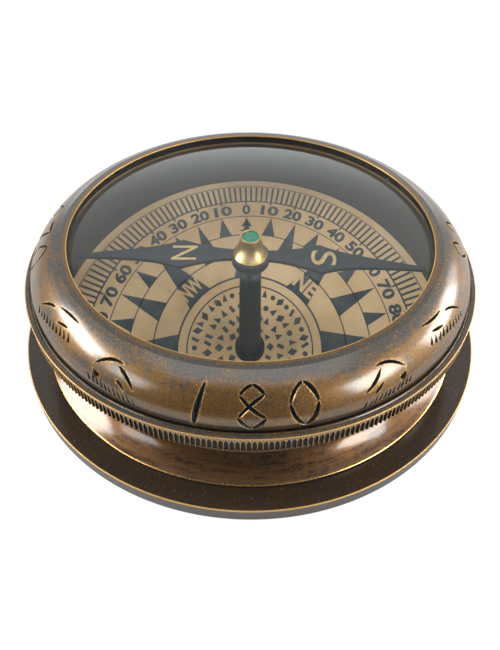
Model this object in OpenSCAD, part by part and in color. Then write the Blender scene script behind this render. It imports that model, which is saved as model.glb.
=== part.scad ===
// Desk compass with a magnifying glass in a screw-on lid.
// Origin: centre of the underside. +Z up, +Y away from the reader of the dial.
// Every radius is worked outwards from the glass, and every height upwards from the base.

/* [Base plate] */
// Height of the plate's rim
base_rim_h = 3.5; // [3.2:0.1:5]
// Fall of the plate's top from the rim to the drum
base_dish = 0.4; // [0:0.1:0.6]
// Width of the flange outside the drum's foot
flange_w = 5.1; // [3:0.1:9]
// Rounding of the rim's two edges
rim_round = 0.5; // [0.2:0.1:1.2]
// Thickness of the felt pad, and depth of its recess
pad_t = 1.2; // [0.8:0.1:1.5]
// Width of the pad outside the screw heads
pad_margin = 2; // [1:0.1:2.5]

/* [Drum] */
// Wall of the drum where the waist is narrowest
waist_wall = 1.35; // [1.2:0.05:2.4]
// Reach of the drum's foot outside the waist
foot_flare = 5.35; // [4:0.05:6.5]
// Height of the narrowest place above the foot
waist_rise = 4.3; // [3.5:0.1:8]
// Height of the foot's straight edge
foot_land = 0.3; // [0.1:0.05:0.8]
// Undercut that shows as a dark line under the foot
foot_undercut = 0.3; // [0.1:0.05:0.6]
// Height of the drum from its foot to the shoulder
waist_h = 14.1; // [12:0.1:20]
// Wall of the threaded neck
neck_wall = 3.7; // [3:0.1:4.5]
// Height of the threaded neck above the shoulder
neck_h = 7; // [6:0.1:10]
// Width of the shoulder outside the neck
shoulder_w = 1.2; // [0.8:0.1:1.5]
// Chamfer at the top of the neck
neck_chamfer = 0.5; // [0.2:0.1:1]
// Thickness of the seal on the shoulder
seal_t = 0.3; // [0.2:0.05:0.6]

/* [Screws under the base] */
// Number of screws that hold the drum
base_screw_count = 4; // [3:1:8]
// Radius of a drum screw's shaft
base_screw_r = 1; // [0.8:0.1:1.2]
// Radius of a drum screw's head
base_screw_head_r = 2; // [1.6:0.1:2.4]
// Depth of a drum screw in the drum
base_screw_bite = 2; // [1.5:0.1:2.3]
// Distance of the drum screws outside the middle of the waist's wall
base_screw_out = 1; // [0.8:0.05:1.1]
// Angle of the first drum screw, from +X
base_screw_turn = 45; // [0:5:90]
// Radius of the post screw's shaft
post_screw_r = 1.25; // [1:0.05:1.4]
// Radius of the post screw's head
post_screw_head_r = 2.6; // [2.2:0.1:3.5]
// Depth of the post screw in the post
post_screw_bite = 5; // [3:0.1:6]
// Width of the screwdriver slots
slot_w = 0.5; // [0.3:0.05:0.7]
// Depth of the screwdriver slots
slot_depth = 0.5; // [0.3:0.05:0.7]
// Depth of a drilled hole past the end of its screw
hole_spare = 0.6; // [0.3:0.1:1]

/* [Dial] */
// Thickness of the metal dial plate
dial_plate_t = 1.4; // [1:0.1:2.5]
// Thickness of the printed card
card_t = 0.3; // [0.2:0.05:0.6]
// Thickness of the black wall liner
liner_t = 0.5; // [0.4:0.05:0.8]
// Room between the glass's edge and the liner's face, seen from above
well_margin = 0.5; // [0.2:0.1:1.5]

/* [Post and pin] */
// Radius of the post
post_r = 2.3; // [2:0.1:3.2]
// Height of the cone at the post's top
post_cone_h = 1.2; // [0.6:0.1:2]
// Radius of the flat at the post's top
post_tip_r = 1.3; // [0.9:0.1:1.8]
// Thickness of the washer under the post
washer_t = 0.3; // [0.2:0.05:0.6]
// Width of the washer outside the post
washer_rim = 0.8; // [0.4:0.1:1.5]
// Radius of the steel pin
pin_r = 0.6; // [0.4:0.05:0.8]
// Depth of the pin in the post
pin_bite = 3; // [2:0.1:4]
// Height of the pin's sharpened point
pin_point_h = 1.7; // [1:0.1:2.5]
// Radius of the pin's blunted end
pin_end_r = 0.06; // [0.04:0.01:0.1]
// Room between the post's top and the needle's hub
post_clear = 0.5; // [0.3:0.1:1]

/* [Needle] */
// Room between the needle's tips and the wall
needle_clear = 4.2; // [2:0.1:10]
// Thickness of the needle
needle_t = 0.6; // [0.4:0.05:1]
// Distance from the pin to the widest place
lozenge_x = 15; // [12:0.5:20]
// Half of the needle's greatest width
lozenge_half_w = 3.95; // [2.5:0.05:5]
// Half of the needle's width beside the hub
neck_half_w = 1.38; // [0.8:0.02:2]
// Half of the needle's width at the tips
tip_half_w = 0.42; // [0.2:0.02:0.8]
// Radius of the black hub
hub_r = 4.05; // [3.8:0.05:5]
// Thickness of the hub under the needle
hub_t = 0.6; // [0.4:0.05:1]
// Angle of the needle's first end at rest, from +X
needle_turn = 177.1; // [0:0.1:360]

/* [Cap and jewel] */
// Height of the cap above the needle
cap_h = 3.8; // [3:0.1:5]
// Radius of the cap's flared foot
cap_foot_r = 3.7; // [3.2:0.05:3.75]
// Height of the straight edge of the cap's foot
cap_foot_h = 0.23; // [0.1:0.01:0.5]
// Radius of the cap's top
cap_top_r = 2.4; // [2.2:0.05:2.8]
// Radius of the cap's shank through the needle
cap_shank_r = 2; // [1.9:0.05:2.4]
// Radius of the hollow inside the cap
cap_bore_r = 1.5; // [1.2:0.05:1.6]
// Radius of the jewel
jewel_r = 1.9; // [1.7:0.05:2]
// Thickness of the jewel
jewel_t = 1.2; // [1:0.05:1.6]
// Depth of the jewel's face below the cap's rim
jewel_sink = 0.15; // [0.05:0.05:0.4]
// Depth of the cup in the jewel
cup_depth = 0.7; // [0.5:0.05:0.8]
// Radius of the cup's mouth
cup_r = 0.8; // [0.6:0.05:1]
// Room between the cap's top and the glass
cap_clear = 1; // [0.6:0.1:2]

/* [Glass] */
// Radius of the magnifying glass
lens_r = 41.2; // [38:0.1:46]
// Thickness of the glass at its edge
lens_edge_t = 1.26; // [0.8:0.02:2.5]
// Radius of curvature of the upper face
lens_top_curve = 241; // [200:1:320]
// Radius of curvature of the lower face
lens_bottom_curve = 269; // [200:1:320]
// Thickness of the upper gasket at its inner edge
gasket_upper_t = 0.4; // [0.2:0.05:0.8]
// Thickness of the lower gasket at its inner edge
gasket_lower_t = 0.3; // [0.2:0.05:0.8]
// Width of the two gaskets
gasket_w = 1.1; // [0.8:0.05:1.3]
// Height of the retainer ring
retainer_h = 1.3; // [1:0.1:2]
// Depth of the retainer's thread outside the glass
retainer_step = 1.1; // [0.8:0.1:1.5]
// Width of the retainer's two spanner notches
notch_w = 2; // [1:0.1:4]
// Depth of the spanner notches
notch_depth = 0.65; // [0.4:0.05:0.8]

/* [Bezel and collar] */
// Reach of the lip over the glass
lip_w = 1.7; // [1.4:0.05:2]
// Thickness of the lip
lip_t = 1.2; // [0.8:0.05:2]
// Width of the flat on the lip
lip_flat = 0.9; // [0.6:0.05:1.2]
// Depth of the shallow dip behind the lip
lip_dip = 0.12; // [0.05:0.01:0.2]
// Chamfer of the lip's inner edge
lip_chamfer = 0.2; // [0.1:0.05:0.4]
// Radius of the bezel's crown
crown_curve = 12.2; // [11.5:0.1:16]
// Radius of the bezel's side
side_curve = 4.12; // [3.8:0.02:4.6]
// Height from the bezel's foot to its widest place
side_rise = 1.14; // [0.8:0.02:1.6]
// Wall of the bezel outside the collar's sleeve
bezel_wall = 0.85; // [0.7:0.05:1.4]
// Wall of the collar's sleeve
sleeve_wall = 1.25; // [0.9:0.05:2]
// Width of the collar's shelf outside the bezel
shelf_w = 1.8; // [1.4:0.05:3]
// Height of the knurled band
knurl_h = 3.3; // [2:0.1:4]
// Height of the plain rim above the knurling
collar_rim_h = 0.55; // [0.4:0.05:1]
// Distance from one knurl ridge to the next
knurl_pitch = 0.98; // [0.9:0.01:2]
// Depth of the knurling
knurl_depth = 0.5; // [0.3:0.05:0.7]
// Distance of the ridges' tops behind the rim above them
knurl_setback = 0.08; // [0.04:0.02:0.2]
// Distance of the first turned line on the shelf from the bezel
line_start = 0.22; // [0.2:0.02:0.4]
// Distance from the first turned line to the second
line_spacing = 0.54; // [0.46:0.02:0.8]
// Width of each of the two turned lines
line_w = 0.36; // [0.2:0.02:0.4]
// Depth of the turned lines
line_depth = 0.4; // [0.2:0.05:0.5]

/* [Clearances] */
// Radial room between pieces that are fitted together
fit_gap = 0.05; // [0.02:0.01:0.1]
// Radial room between the neck and the collar that turns on it
thread_gap = 0.06; // [0.03:0.01:0.1]
// Room between the neck's top and the bezel
lid_gap = 0.5; // [0.3:0.05:1]
// Room between the pin's end and the jewel
pin_gap = 0.04; // [0.02:0.01:0.08]

/* [Hidden] */

$fn = 96;
// Steps in the circles of the glass's nearly flat faces
fine_fn = 1440;
// Cut that runs past a face
past = 1;
// Straight steps in a quarter turn of a small rounding, and in a long curve
round_steps = 4;
curve_steps = 14;
// Straight steps on each side of the needle's lozenge, and in the cap's flare
needle_steps = 7;
flare_steps = 7;
// Powers of the curves: the needle's swell and taper, the cap's flare, and the waist's flare
// below and above its narrowest place
swell_power = 1.7;
taper_power = 5;
flare_power = 2.2;
waist_low_power = 1.5;
waist_top_power = 2;
// Depth of the blade's ends inside the hub's circle
neck_bury = 0.5;
// Half of a knurl ridge's width at its foot and at its top, as shares of the pitch
ridge_foot = 0.36;
ridge_top = 0.14;

brass_dark = [0.35, 0.26, 0.16];
brass_bright = [0.80, 0.62, 0.34];
black_paint = [0.10, 0.10, 0.11];
steel_black = [0.16, 0.17, 0.19];

// Radii, from the glass outwards
aperture_r = lens_r - lip_w;
well_r = lens_r + well_margin;
bore_r = well_r + liner_t + fit_gap;
waist_r = bore_r + waist_wall;
foot_r = waist_r + foot_flare;
base_r = foot_r + flange_w;
neck_r = bore_r + neck_wall;
shoulder_r = neck_r + shoulder_w;
collar_bore_r = neck_r + thread_gap;
sleeve_r = collar_bore_r + sleeve_wall;
bezel_bore_r = sleeve_r + fit_gap;
bezel_foot_r = bezel_bore_r + bezel_wall;
collar_r = bezel_foot_r + shelf_w;
lens_seat_r = lens_r + fit_gap;
retainer_r = lens_r + retainer_step;
gasket_out_r = lens_r;
gasket_in_r = lens_r - gasket_w;
screw_circle_r = (bore_r + waist_r) / 2 + base_screw_out;
pad_r = screw_circle_r + base_screw_head_r + pad_margin;
needle_tip_x = well_r - needle_clear;

// Heights, from the base upwards
base_top_z = base_rim_h - base_dish;
card_z = base_top_z + dial_plate_t;
dial_z = card_z + card_t;
shoulder_z = base_top_z + waist_h;
collar_z = shoulder_z + seal_t;
knurl_top_z = collar_z + knurl_h;
shelf_z = knurl_top_z + collar_rim_h;
neck_top_z = shoulder_z + neck_h;
lid_floor_z = neck_top_z + lid_gap;
retainer_top_z = lid_floor_z + retainer_h;
lens_bottom_z = retainer_top_z + gasket_lower_t - sag(gasket_in_r, lens_bottom_curve);
lens_edge_z = lens_bottom_z + sag(lens_r, lens_bottom_curve);
lens_top_z = lens_edge_z + lens_edge_t + sag(lens_r, lens_top_curve);
lip_under_z = glass_top(gasket_in_r) + gasket_upper_t;
lip_z = lip_under_z + lip_t;
cap_top_z = lens_bottom_z - cap_clear;
needle_top_z = cap_top_z - cap_h;
needle_z = needle_top_z - needle_t;
hub_z = needle_z - hub_t;
jewel_z = cap_top_z - jewel_sink - jewel_t;
pin_tip_z = jewel_z + cup_depth - pin_gap;
post_z = dial_z + washer_t;
post_top_z = hub_z - post_clear;

// Depth of a round face of radius curve at the distance r from its axis
function sag(r, curve) = curve - sqrt(curve * curve - r * r);
// Height of the glass's upper and lower face at the distance r from the axis
function glass_top(r) = lens_top_z - sag(r, lens_top_curve);
function glass_bottom(r) = lens_bottom_z + sag(r, lens_bottom_curve);

// Points along an arc about [x, z], from angle a0 to a1
function arc(x, z, r, a0, a1, steps) =
    [for (i = [0:steps]) let (a = a0 + (a1 - a0) * i / steps) [x + r * cos(a), z + r * sin(a)]];

// Hollow waist: one curve from the foot's edge up to the narrowest place, and one from there
// out to the shoulder
waist_low_z = base_top_z + foot_undercut + foot_land;
waist_z = waist_low_z + waist_rise;
waist_points = [
    for (i = [0:curve_steps]) let (t = i / curve_steps)
        [waist_r + foot_flare * pow(1 - t, waist_low_power), waist_low_z + waist_rise * t],
    for (i = [1:curve_steps]) let (t = i / curve_steps)
        [waist_r + (shoulder_r - waist_r) * pow(t, waist_top_power), waist_z + (shoulder_z - waist_z) * t]];

// Bezel: a side arc above the foot, and a crown arc that meets it smoothly
// and ends at the back of the lip's dip
side_x = bezel_foot_r - sqrt(side_curve * side_curve - side_rise * side_rise);
side_z = shelf_z + side_rise;
crown_end = [aperture_r + lip_w - lip_chamfer, lip_z + lip_dip];
crown_reach = crown_curve - side_curve;
crown_dx = crown_end[0] - side_x;
crown_dz = crown_end[1] - side_z;
crown_span = sqrt(crown_dx * crown_dx + crown_dz * crown_dz);
crown_along = (crown_reach * crown_reach - crown_curve * crown_curve + crown_span * crown_span)
    / (2 * crown_span);
crown_off = sqrt(crown_reach * crown_reach - crown_along * crown_along);
crown_x = side_x + (crown_along * crown_dx - crown_off * crown_dz) / crown_span;
crown_z = side_z + (crown_along * crown_dz + crown_off * crown_dx) / crown_span;
crown_low_a = atan2(side_z - crown_z, side_x - crown_x);
crown_high_a = atan2(crown_end[1] - crown_z, crown_end[0] - crown_x);

// Countersunk screw that points up from its head at z, with a slot in the head
module countersunk(z, head_r, shaft_r, shaft_l) {
    difference() {
        union() {
            translate([0, 0, z]) cylinder(h = head_r - shaft_r, r1 = head_r, r2 = shaft_r);
            translate([0, 0, z]) cylinder(h = shaft_l, r = shaft_r);
        }
        translate([-head_r - past, -slot_w / 2, z - past])
            cube([2 * (head_r + past), slot_w, slot_depth + past]);
    }
}

// Hole for such a screw
module countersink(z, head_r, shaft_r, shaft_l) {
    translate([0, 0, z - past]) cylinder(h = past, r = head_r + fit_gap);
    translate([0, 0, z]) cylinder(h = head_r - shaft_r, r1 = head_r + fit_gap, r2 = shaft_r + fit_gap);
    translate([0, 0, z]) cylinder(h = shaft_l, r = shaft_r + fit_gap);
}

// One copy of its child at each drum screw
module at_base_screws() {
    for (i = [0:base_screw_count - 1]) {
        rotate([0, 0, base_screw_turn + i * 360 / base_screw_count])
            translate([screw_circle_r, 0, 0]) children();
    }
}

// Flat ring
module ring(inner, outer, z, h) {
    difference() {
        translate([0, 0, z]) cylinder(h = h, r = outer);
        translate([0, 0, z - past]) cylinder(h = h + 2 * past, r = inner);
    }
}

base_screw_l = base_top_z - pad_t + base_screw_bite;
post_screw_l = post_z - pad_t + post_screw_bite;

module base_plate() {
    color(brass_dark) difference() {
        rotate_extrude() polygon(concat(
            [[0, pad_t], [pad_r, pad_t], [pad_r, 0]],
            arc(base_r - rim_round, rim_round, rim_round, -90, 0, round_steps),
            arc(base_r - rim_round, base_rim_h - rim_round, rim_round, 0, 90, round_steps),
            [[foot_r, base_top_z], [0, base_top_z]]));
        at_base_screws() countersink(pad_t, base_screw_head_r, base_screw_r, base_rim_h + past);
        countersink(pad_t, post_screw_head_r, post_screw_r, base_rim_h + past);
    }
}

module base_pad() {
    color([0.12, 0.22, 0.16]) cylinder(h = pad_t, r = pad_r - fit_gap);
}

module base_screws() {
    color(brass_bright) at_base_screws() countersunk(pad_t, base_screw_head_r, base_screw_r, base_screw_l);
}

module body_drum() {
    color(brass_dark) difference() {
        rotate_extrude() polygon(concat(
            [[bore_r, base_top_z], [foot_r - foot_undercut, base_top_z],
             [foot_r, base_top_z + foot_undercut]],
            waist_points,
            [[neck_r, shoulder_z], [neck_r, neck_top_z - neck_chamfer],
             [neck_r - neck_chamfer, neck_top_z], [bore_r, neck_top_z]]));
        at_base_screws() translate([0, 0, base_top_z - past])
            cylinder(h = past + base_screw_bite + hole_spare, r = base_screw_r + fit_gap);
    }
}

module body_seal() {
    color(black_paint) ring(neck_r + fit_gap, shoulder_r - fit_gap, shoulder_z, seal_t);
}

module dial_plate() {
    color([0.75, 0.70, 0.60]) ring(post_screw_r + fit_gap, bore_r - fit_gap, base_top_z, dial_plate_t);
}

module dial_card() {
    color([0.80, 0.67, 0.46]) ring(post_screw_r + fit_gap, bore_r - fit_gap, card_z, card_t);
}

module wall_liner() {
    color(black_paint) ring(well_r, well_r + liner_t, dial_z, neck_top_z - dial_z);
}

module post_screw() {
    color(brass_bright) countersunk(pad_t, post_screw_head_r, post_screw_r, post_screw_l);
}

module post_washer() {
    color(black_paint) ring(post_screw_r + fit_gap, post_r + washer_rim, dial_z, washer_t);
}

module pivot_post() {
    color(black_paint) difference() {
        union() {
            translate([0, 0, post_z]) cylinder(h = post_top_z - post_cone_h - post_z, r = post_r);
            translate([0, 0, post_top_z - post_cone_h])
                cylinder(h = post_cone_h, r1 = post_r, r2 = post_tip_r);
        }
        translate([0, 0, post_z - past])
            cylinder(h = past + post_screw_bite + hole_spare, r = post_screw_r + fit_gap);
        translate([0, 0, post_top_z - pin_bite]) cylinder(h = pin_bite + past, r = pin_r + fit_gap);
    }
}

module pivot_pin() {
    point_z = pin_tip_z - pin_point_h;
    color([0.62, 0.64, 0.68]) union() {
        translate([0, 0, post_top_z - pin_bite]) cylinder(h = point_z - post_top_z + pin_bite, r = pin_r);
        translate([0, 0, point_z]) cylinder(h = pin_point_h, r1 = pin_r, r2 = pin_end_r);
    }
}

// Half of the needle's width at the distance x from the pin: it swells to the lozenge,
// then falls fast at first and evenly towards the tip
needle_start_x = sqrt(hub_r * hub_r - neck_half_w * neck_half_w) - neck_bury;
function swell(t) = neck_half_w + (lozenge_half_w - neck_half_w) * pow(t, swell_power);
function taper(t) = tip_half_w + (lozenge_half_w - tip_half_w) * ((1 - t) + pow(1 - t, taper_power)) / 2;
needle_edge = concat(
    [for (i = [0:needle_steps]) let (t = i / needle_steps)
        [needle_start_x + t * (lozenge_x - needle_start_x), swell(t)]],
    [for (i = [1:needle_steps]) let (t = i / needle_steps)
        [lozenge_x + t * (needle_tip_x - lozenge_x), taper(t)]]);

module needle() {
    last = len(needle_edge) - 1;
    color(steel_black) rotate([0, 0, needle_turn]) difference() {
        union() {
            translate([0, 0, needle_z]) linear_extrude(needle_t) polygon(concat(
                needle_edge,
                [for (i = [last:-1:0]) [needle_edge[i][0], -needle_edge[i][1]]],
                [for (i = [0:last]) [-needle_edge[i][0], -needle_edge[i][1]]],
                [for (i = [last:-1:0]) [-needle_edge[i][0], needle_edge[i][1]]]));
            translate([0, 0, needle_z]) cylinder(h = needle_t, r = hub_r);
        }
        translate([0, 0, needle_z - past]) cylinder(h = needle_t + 2 * past, r = cap_shank_r + fit_gap);
    }
}

module needle_hub() {
    color(black_paint) ring(cap_shank_r + fit_gap, hub_r, hub_z, hub_t);
}

// Brass cap: a flared bell on a hollow shank, with a seat for the jewel
module needle_cap() {
    flare = cap_foot_r - cap_top_r;
    color(brass_bright) difference() {
        union() {
            rotate_extrude() polygon(concat(
                [[0, needle_top_z], [cap_foot_r, needle_top_z]],
                [for (i = [0:flare_steps]) let (t = i / flare_steps)
                    [cap_top_r + flare * pow(1 - t, flare_power),
                     needle_top_z + cap_foot_h + t * (cap_h - cap_foot_h)]],
                [[0, cap_top_z]]));
            translate([0, 0, hub_z]) cylinder(h = needle_top_z - hub_z, r = cap_shank_r);
        }
        translate([0, 0, hub_z - past]) cylinder(h = cap_top_z - hub_z + 2 * past, r = cap_bore_r);
        translate([0, 0, jewel_z]) cylinder(h = cap_top_z - jewel_z + past, r = jewel_r + fit_gap);
    }
}

module cap_jewel() {
    color([0.10, 0.50, 0.38]) difference() {
        translate([0, 0, jewel_z]) cylinder(h = jewel_t, r = jewel_r);
        translate([0, 0, jewel_z]) cylinder(h = cup_depth, r1 = cup_r, r2 = pin_end_r);
    }
}

module lens() {
    color([0.75, 0.85, 0.88, 0.35]) rotate_extrude() intersection() {
        translate([0, lens_bottom_z]) square([lens_r, lens_top_z - lens_bottom_z]);
        translate([0, lens_top_z - lens_top_curve]) circle(r = lens_top_curve, $fn = fine_fn);
        translate([0, lens_bottom_z + lens_bottom_curve]) circle(r = lens_bottom_curve, $fn = fine_fn);
    }
}

module lens_gasket_upper() {
    color(black_paint) rotate_extrude() polygon([
        [gasket_in_r, glass_top(gasket_in_r)], [gasket_out_r, glass_top(gasket_out_r)],
        [gasket_out_r, lip_under_z], [gasket_in_r, lip_under_z]]);
}

module lens_gasket_lower() {
    color(black_paint) rotate_extrude() polygon([
        [gasket_in_r, retainer_top_z], [gasket_out_r, retainer_top_z],
        [gasket_out_r, glass_bottom(gasket_out_r)], [gasket_in_r, glass_bottom(gasket_in_r)]]);
}

module lens_retainer() {
    color(brass_dark) difference() {
        ring(gasket_in_r, retainer_r, lid_floor_z, retainer_h);
        for (side = [0, 180]) {
            rotate([0, 0, side]) translate([gasket_in_r - past, -notch_w / 2, lid_floor_z - past])
                cube([retainer_r, notch_w, past + notch_depth]);
        }
    }
}

module bezel_ring() {
    color(brass_dark) rotate_extrude() polygon(concat(
        [[aperture_r, lip_under_z], [aperture_r, lip_z - lip_chamfer], [aperture_r + lip_chamfer, lip_z],
         [aperture_r + lip_flat, lip_z],
         [(aperture_r + lip_flat + crown_end[0]) / 2, lip_z - lip_dip]],
        arc(crown_x, crown_z, crown_curve, crown_high_a, crown_low_a, curve_steps),
        arc(side_x, side_z, side_curve, crown_low_a, -asin(side_rise / side_curve), curve_steps),
        [[bezel_bore_r, shelf_z], [bezel_bore_r, lid_floor_z], [retainer_r + fit_gap, lid_floor_z],
         [retainer_r + fit_gap, retainer_top_z], [lens_seat_r, retainer_top_z], [lens_seat_r, lip_under_z]]));
}

// Knurled collar: a threaded ring with a sleeve inside the bezel, two turned lines on its
// shelf, and a band of upright ridges that runs up into the plain rim
knurl_count = round(2 * PI * collar_r / knurl_pitch);
function knurl_points() = [
    for (i = [0:knurl_count - 1])
    for (step = [[-ridge_foot, 0], [-ridge_top, 1], [ridge_top, 1], [ridge_foot, 0]])
        let (a = (i + step[0]) * 360 / knurl_count,
             r = collar_r - knurl_setback - knurl_depth * (1 - step[1]))
            [r * cos(a), r * sin(a)]];
function turned_line(r) = [[r - line_w / 2, shelf_z], [r, shelf_z - line_depth], [r + line_w / 2, shelf_z]];

module knurled_collar() {
    color(brass_dark) difference() {
        union() {
            translate([0, 0, collar_z]) linear_extrude(knurl_h + collar_rim_h / 2) polygon(knurl_points());
            rotate_extrude() polygon(concat(
                [[0, knurl_top_z], [0, neck_top_z], [sleeve_r, neck_top_z], [sleeve_r, shelf_z]],
                turned_line(bezel_foot_r + line_start),
                turned_line(bezel_foot_r + line_start + line_spacing),
                [[collar_r - lip_chamfer, shelf_z], [collar_r, shelf_z - lip_chamfer],
                 [collar_r, knurl_top_z]]));
        }
        translate([0, 0, collar_z - past]) cylinder(h = neck_top_z - collar_z + 2 * past, r = collar_bore_r);
    }
}

base_plate();
base_pad();
base_screws();
body_drum();
body_seal();
dial_plate();
dial_card();
wall_liner();
post_screw();
post_washer();
pivot_post();
pivot_pin();
needle();
needle_hub();
needle_cap();
cap_jewel();
lens();
lens_gasket_upper();
lens_gasket_lower();
lens_retainer();
bezel_ring();
knurled_collar();
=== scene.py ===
import math
import random

import bpy
from mathutils import Matrix, Vector, kdtree


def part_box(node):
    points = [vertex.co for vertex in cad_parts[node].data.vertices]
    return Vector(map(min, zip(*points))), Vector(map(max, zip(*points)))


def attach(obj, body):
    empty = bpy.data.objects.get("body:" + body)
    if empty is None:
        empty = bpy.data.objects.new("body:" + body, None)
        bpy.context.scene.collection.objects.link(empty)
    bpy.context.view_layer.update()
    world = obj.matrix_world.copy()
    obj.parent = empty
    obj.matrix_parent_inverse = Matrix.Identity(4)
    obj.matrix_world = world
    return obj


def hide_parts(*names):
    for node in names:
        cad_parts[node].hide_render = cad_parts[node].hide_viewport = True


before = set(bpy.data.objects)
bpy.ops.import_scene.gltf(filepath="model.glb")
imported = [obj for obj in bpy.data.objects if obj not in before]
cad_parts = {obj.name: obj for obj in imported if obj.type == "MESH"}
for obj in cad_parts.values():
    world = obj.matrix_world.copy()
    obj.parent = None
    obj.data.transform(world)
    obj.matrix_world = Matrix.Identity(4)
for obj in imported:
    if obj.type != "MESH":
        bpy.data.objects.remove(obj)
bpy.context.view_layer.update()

MM = 0.001
FULL_TURN = 2 * math.pi

# Main sizes of the metalwork, in metres, read from the frame
base_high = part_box("base_plate")[1]
drum_low, drum_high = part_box("body_drum")
seal_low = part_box("body_seal")[0]
collar_low, collar_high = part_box("knurled_collar")
bezel_low, bezel_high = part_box("bezel_ring")
retainer_low, retainer_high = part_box("lens_retainer")
lens_low, lens_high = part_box("lens")
card_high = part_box("dial_card")[1]
liner_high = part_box("wall_liner")[1]
pad_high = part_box("base_pad")[1]
post_low, post_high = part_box("pivot_post")
needle_low, needle_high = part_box("needle")
hub_low, hub_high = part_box("needle_hub")
cap_low, cap_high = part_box("needle_cap")
jewel_low, jewel_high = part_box("cap_jewel")

BASE_R = base_high.x
BASE_RIM_Z = base_high.z
BASE_TOP_Z = drum_low.z
PAD_R = pad_high.x + 0.05 * MM
PAD_Z = pad_high.z
FOOT_R = drum_high.x
SHOULDER_Z = seal_low.z
NECK_TOP_Z = drum_high.z
COLLAR_R = collar_high.x
COLLAR_Z = collar_low.z
SHELF_Z = bezel_low.z
LIP_Z = bezel_high.z
LENS_R = lens_high.x
DIAL_Z = card_high.z

# Sizes that the boxes don't give, in metres
BORE_R = 42.25 * MM
LINER_R = 41.7 * MM
WAIST_R = 43.6 * MM
WAIST_RISE = 4.4 * MM
NECK_R = 45.95 * MM
SHOULDER_R = 47.15 * MM
COLLAR_BORE_R = 46.01 * MM
SLEEVE_R = 47.26 * MM
BEZEL_BORE_R = 47.31 * MM
BEZEL_FOOT_R = 48.16 * MM
APERTURE_R = 39.5 * MM
RETAINER_SEAT_R = 42.35 * MM
LENS_SEAT_R = 41.25 * MM
FOOT_UNDERCUT = 0.3 * MM
FOOT_LAND = 0.3 * MM
NECK_CHAMFER = 0.5 * MM
LIP_UNDER_Z = 28.32 * MM
KNURL_TOP_Z = 20.8 * MM
LENS_TOP_CURVE = 241 * MM
LENS_BOTTOM_CURVE = 269 * MM


# Turning: outlines of corners, and a lathe that spins them


def leave_edit_and_deselect():
    """Leaves edit mode, if it is on, and deselects every object."""
    if bpy.context.object and bpy.context.object.mode == "EDIT":
        bpy.ops.object.mode_set(mode="OBJECT")
    bpy.ops.object.select_all(action="DESELECT")


def take(piece):
    """Makes a piece the one selected and active object."""
    leave_edit_and_deselect()
    piece.select_set(True)
    bpy.context.view_layer.objects.active = piece


def edit_all():
    """Enters edit mode with everything selected."""
    bpy.ops.object.mode_set(mode="EDIT")
    bpy.ops.mesh.select_all(action="SELECT")


def leave_edit():
    bpy.ops.object.mode_set(mode="OBJECT")


def face_outwards():
    """Turns the normals of what is being edited outwards, and leaves edit mode."""
    bpy.ops.mesh.normals_make_consistent(inside=False)
    leave_edit()


def smooth(degrees=35):
    """Shades the active piece smooth, but for edges sharper than this."""
    bpy.ops.object.shade_smooth_by_angle(angle=math.radians(degrees))


def spin_round(steps, threshold, copies=False):
    """Spins what is being edited once about the Z axis, and merges what meets."""
    bpy.ops.mesh.select_all(action="SELECT")
    bpy.ops.mesh.spin(steps=steps, angle=FULL_TURN, dupli=copies, center=(0, 0, 0), axis=(0, 0, 1))
    bpy.ops.mesh.select_all(action="SELECT")
    bpy.ops.mesh.remove_doubles(threshold=threshold)


def rotation(degrees):
    """A turn about the Z axis."""
    return Matrix.Rotation(math.radians(degrees), 4, "Z")


def lay(piece, matrix):
    """Moves a piece's mesh, so that its object stays at the origin."""
    piece.data.transform(matrix)
    piece.data.update()


def named(name):
    """Names the object that an operator has just made, and its mesh."""
    piece = bpy.context.object
    piece.name = name
    piece.data.name = name
    return piece


def corner(r, z, ease=0, wear=0.0, soot_and_shade=0.0):
    """A corner of a turned outline, in metres: its rounding, how far it is worn bright, and how far it is
    blackened by soot and painted shade.
    """
    return (r, z, ease, wear, soot_and_shade)


def arc(r, z, radius, start, end, steps):
    """Corners along an arc about (r, z), between two angles in degrees."""
    turn = [math.radians(start + (end - start) * i / steps) for i in range(steps + 1)]
    return [corner(r + radius * math.cos(a), z + radius * math.sin(a)) for a in turn]


EASE_STEPS = 4
EASE_GUARD = 0.12 * MM


def eased(corners):
    """Rounds the corners of a closed outline. Returns points of radius, height, wear, and soot with painted
    shade.
    """
    points = []
    for i, (r, z, ease, wear, soot_and_shade) in enumerate(corners):
        if not ease:
            points.append((r, z, wear, soot_and_shade))
            continue
        here = Vector((r, z))
        before = Vector(corners[i - 1][:2]) - here
        after = Vector(corners[(i + 1) % len(corners)][:2]) - here
        half = before.angle(after) / 2
        cut = min(ease / math.tan(half), 0.45 * before.length, 0.45 * after.length)
        centre = here + (before.normalized() + after.normalized()).normalized() * cut / math.cos(half)
        first = here + before.normalized() * cut
        last = here + after.normalized() * cut
        guard = min(EASE_GUARD, 0.3 * min(before.length, after.length))
        points.append((*(here + before.normalized() * (cut + guard)), 0.0, soot_and_shade))
        spoke, end_spoke = first - centre, last - centre
        sweep = math.atan2(spoke.x * end_spoke.y - spoke.y * end_spoke.x, spoke.dot(end_spoke))
        for step in range(EASE_STEPS + 1):
            turned_spoke = Matrix.Rotation(sweep * step / EASE_STEPS, 2) @ spoke
            points.append((*(centre + turned_spoke), wear, soot_and_shade))
        points.append((*(here + after.normalized() * (cut + guard)), 0.0, soot_and_shade))
    return points


def store(piece, name, values):
    """Keeps one number for each vertex under a name that the materials read."""
    layer = piece.data.attributes.new(name, "FLOAT", "POINT")
    layer.data.foreach_set("value", values)


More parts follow.
